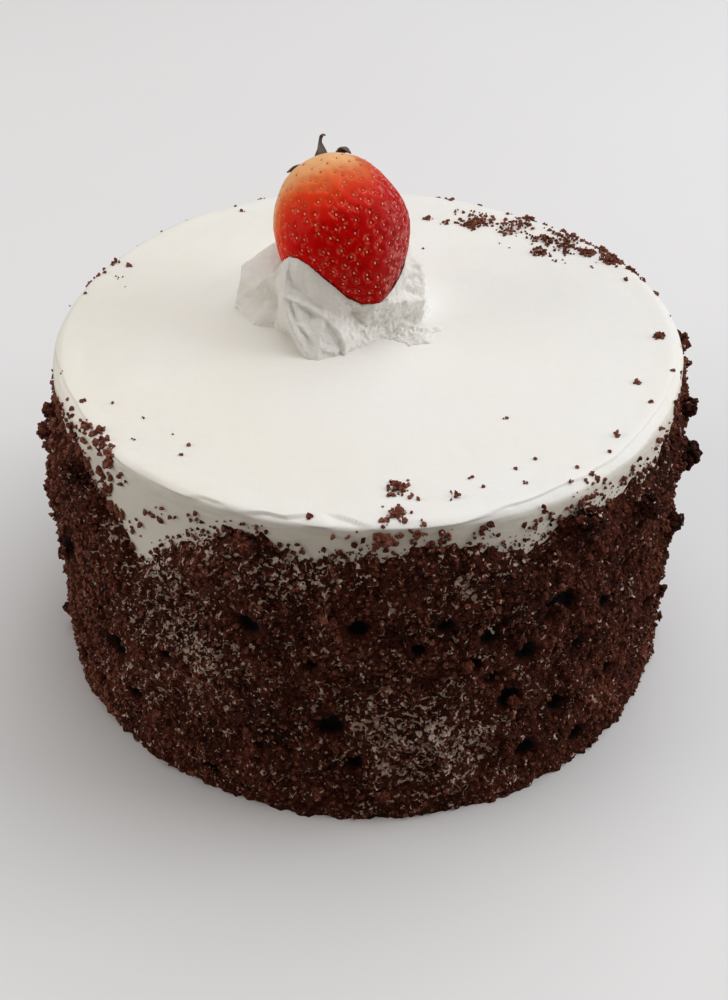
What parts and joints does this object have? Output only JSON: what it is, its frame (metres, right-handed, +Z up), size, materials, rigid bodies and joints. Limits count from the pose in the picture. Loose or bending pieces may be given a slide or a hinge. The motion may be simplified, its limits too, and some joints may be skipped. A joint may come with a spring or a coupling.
{
  "type": "strawberry cake",
  "caption": "Round cream-covered layer cake with a coat of chocolate crumbs round its wall and a whole strawberry seated in a dollop of whipped cream on top.",
  "frame": {"origin": "middle of the flat base that the cake stands on", "axes": "+Z up through the cake; -Y is the side that the strawberry's tip points to; +X is to the right seen from there"},
  "size_m": [0.2145, 0.2152, 0.161],
  "materials": {
    "cream": "smooth spread cream, soft sheen",
    "crumb": "rough dark chocolate crumb, matt",
    "whipped_cream": "spooned whipped cream, soft sheen",
    "strawberry_skin": "glossy, pale at the shoulder",
    "dried_sepals": "dry, wrinkled, matt"
  },
  "bodies": {
    "root": {"cake": "cream", "crumb_coat": "crumb", "cream_dollop": "whipped_cream", "strawberry": "strawberry_skin", "calyx": "dried_sepals"}
  },
  "joints": []
}
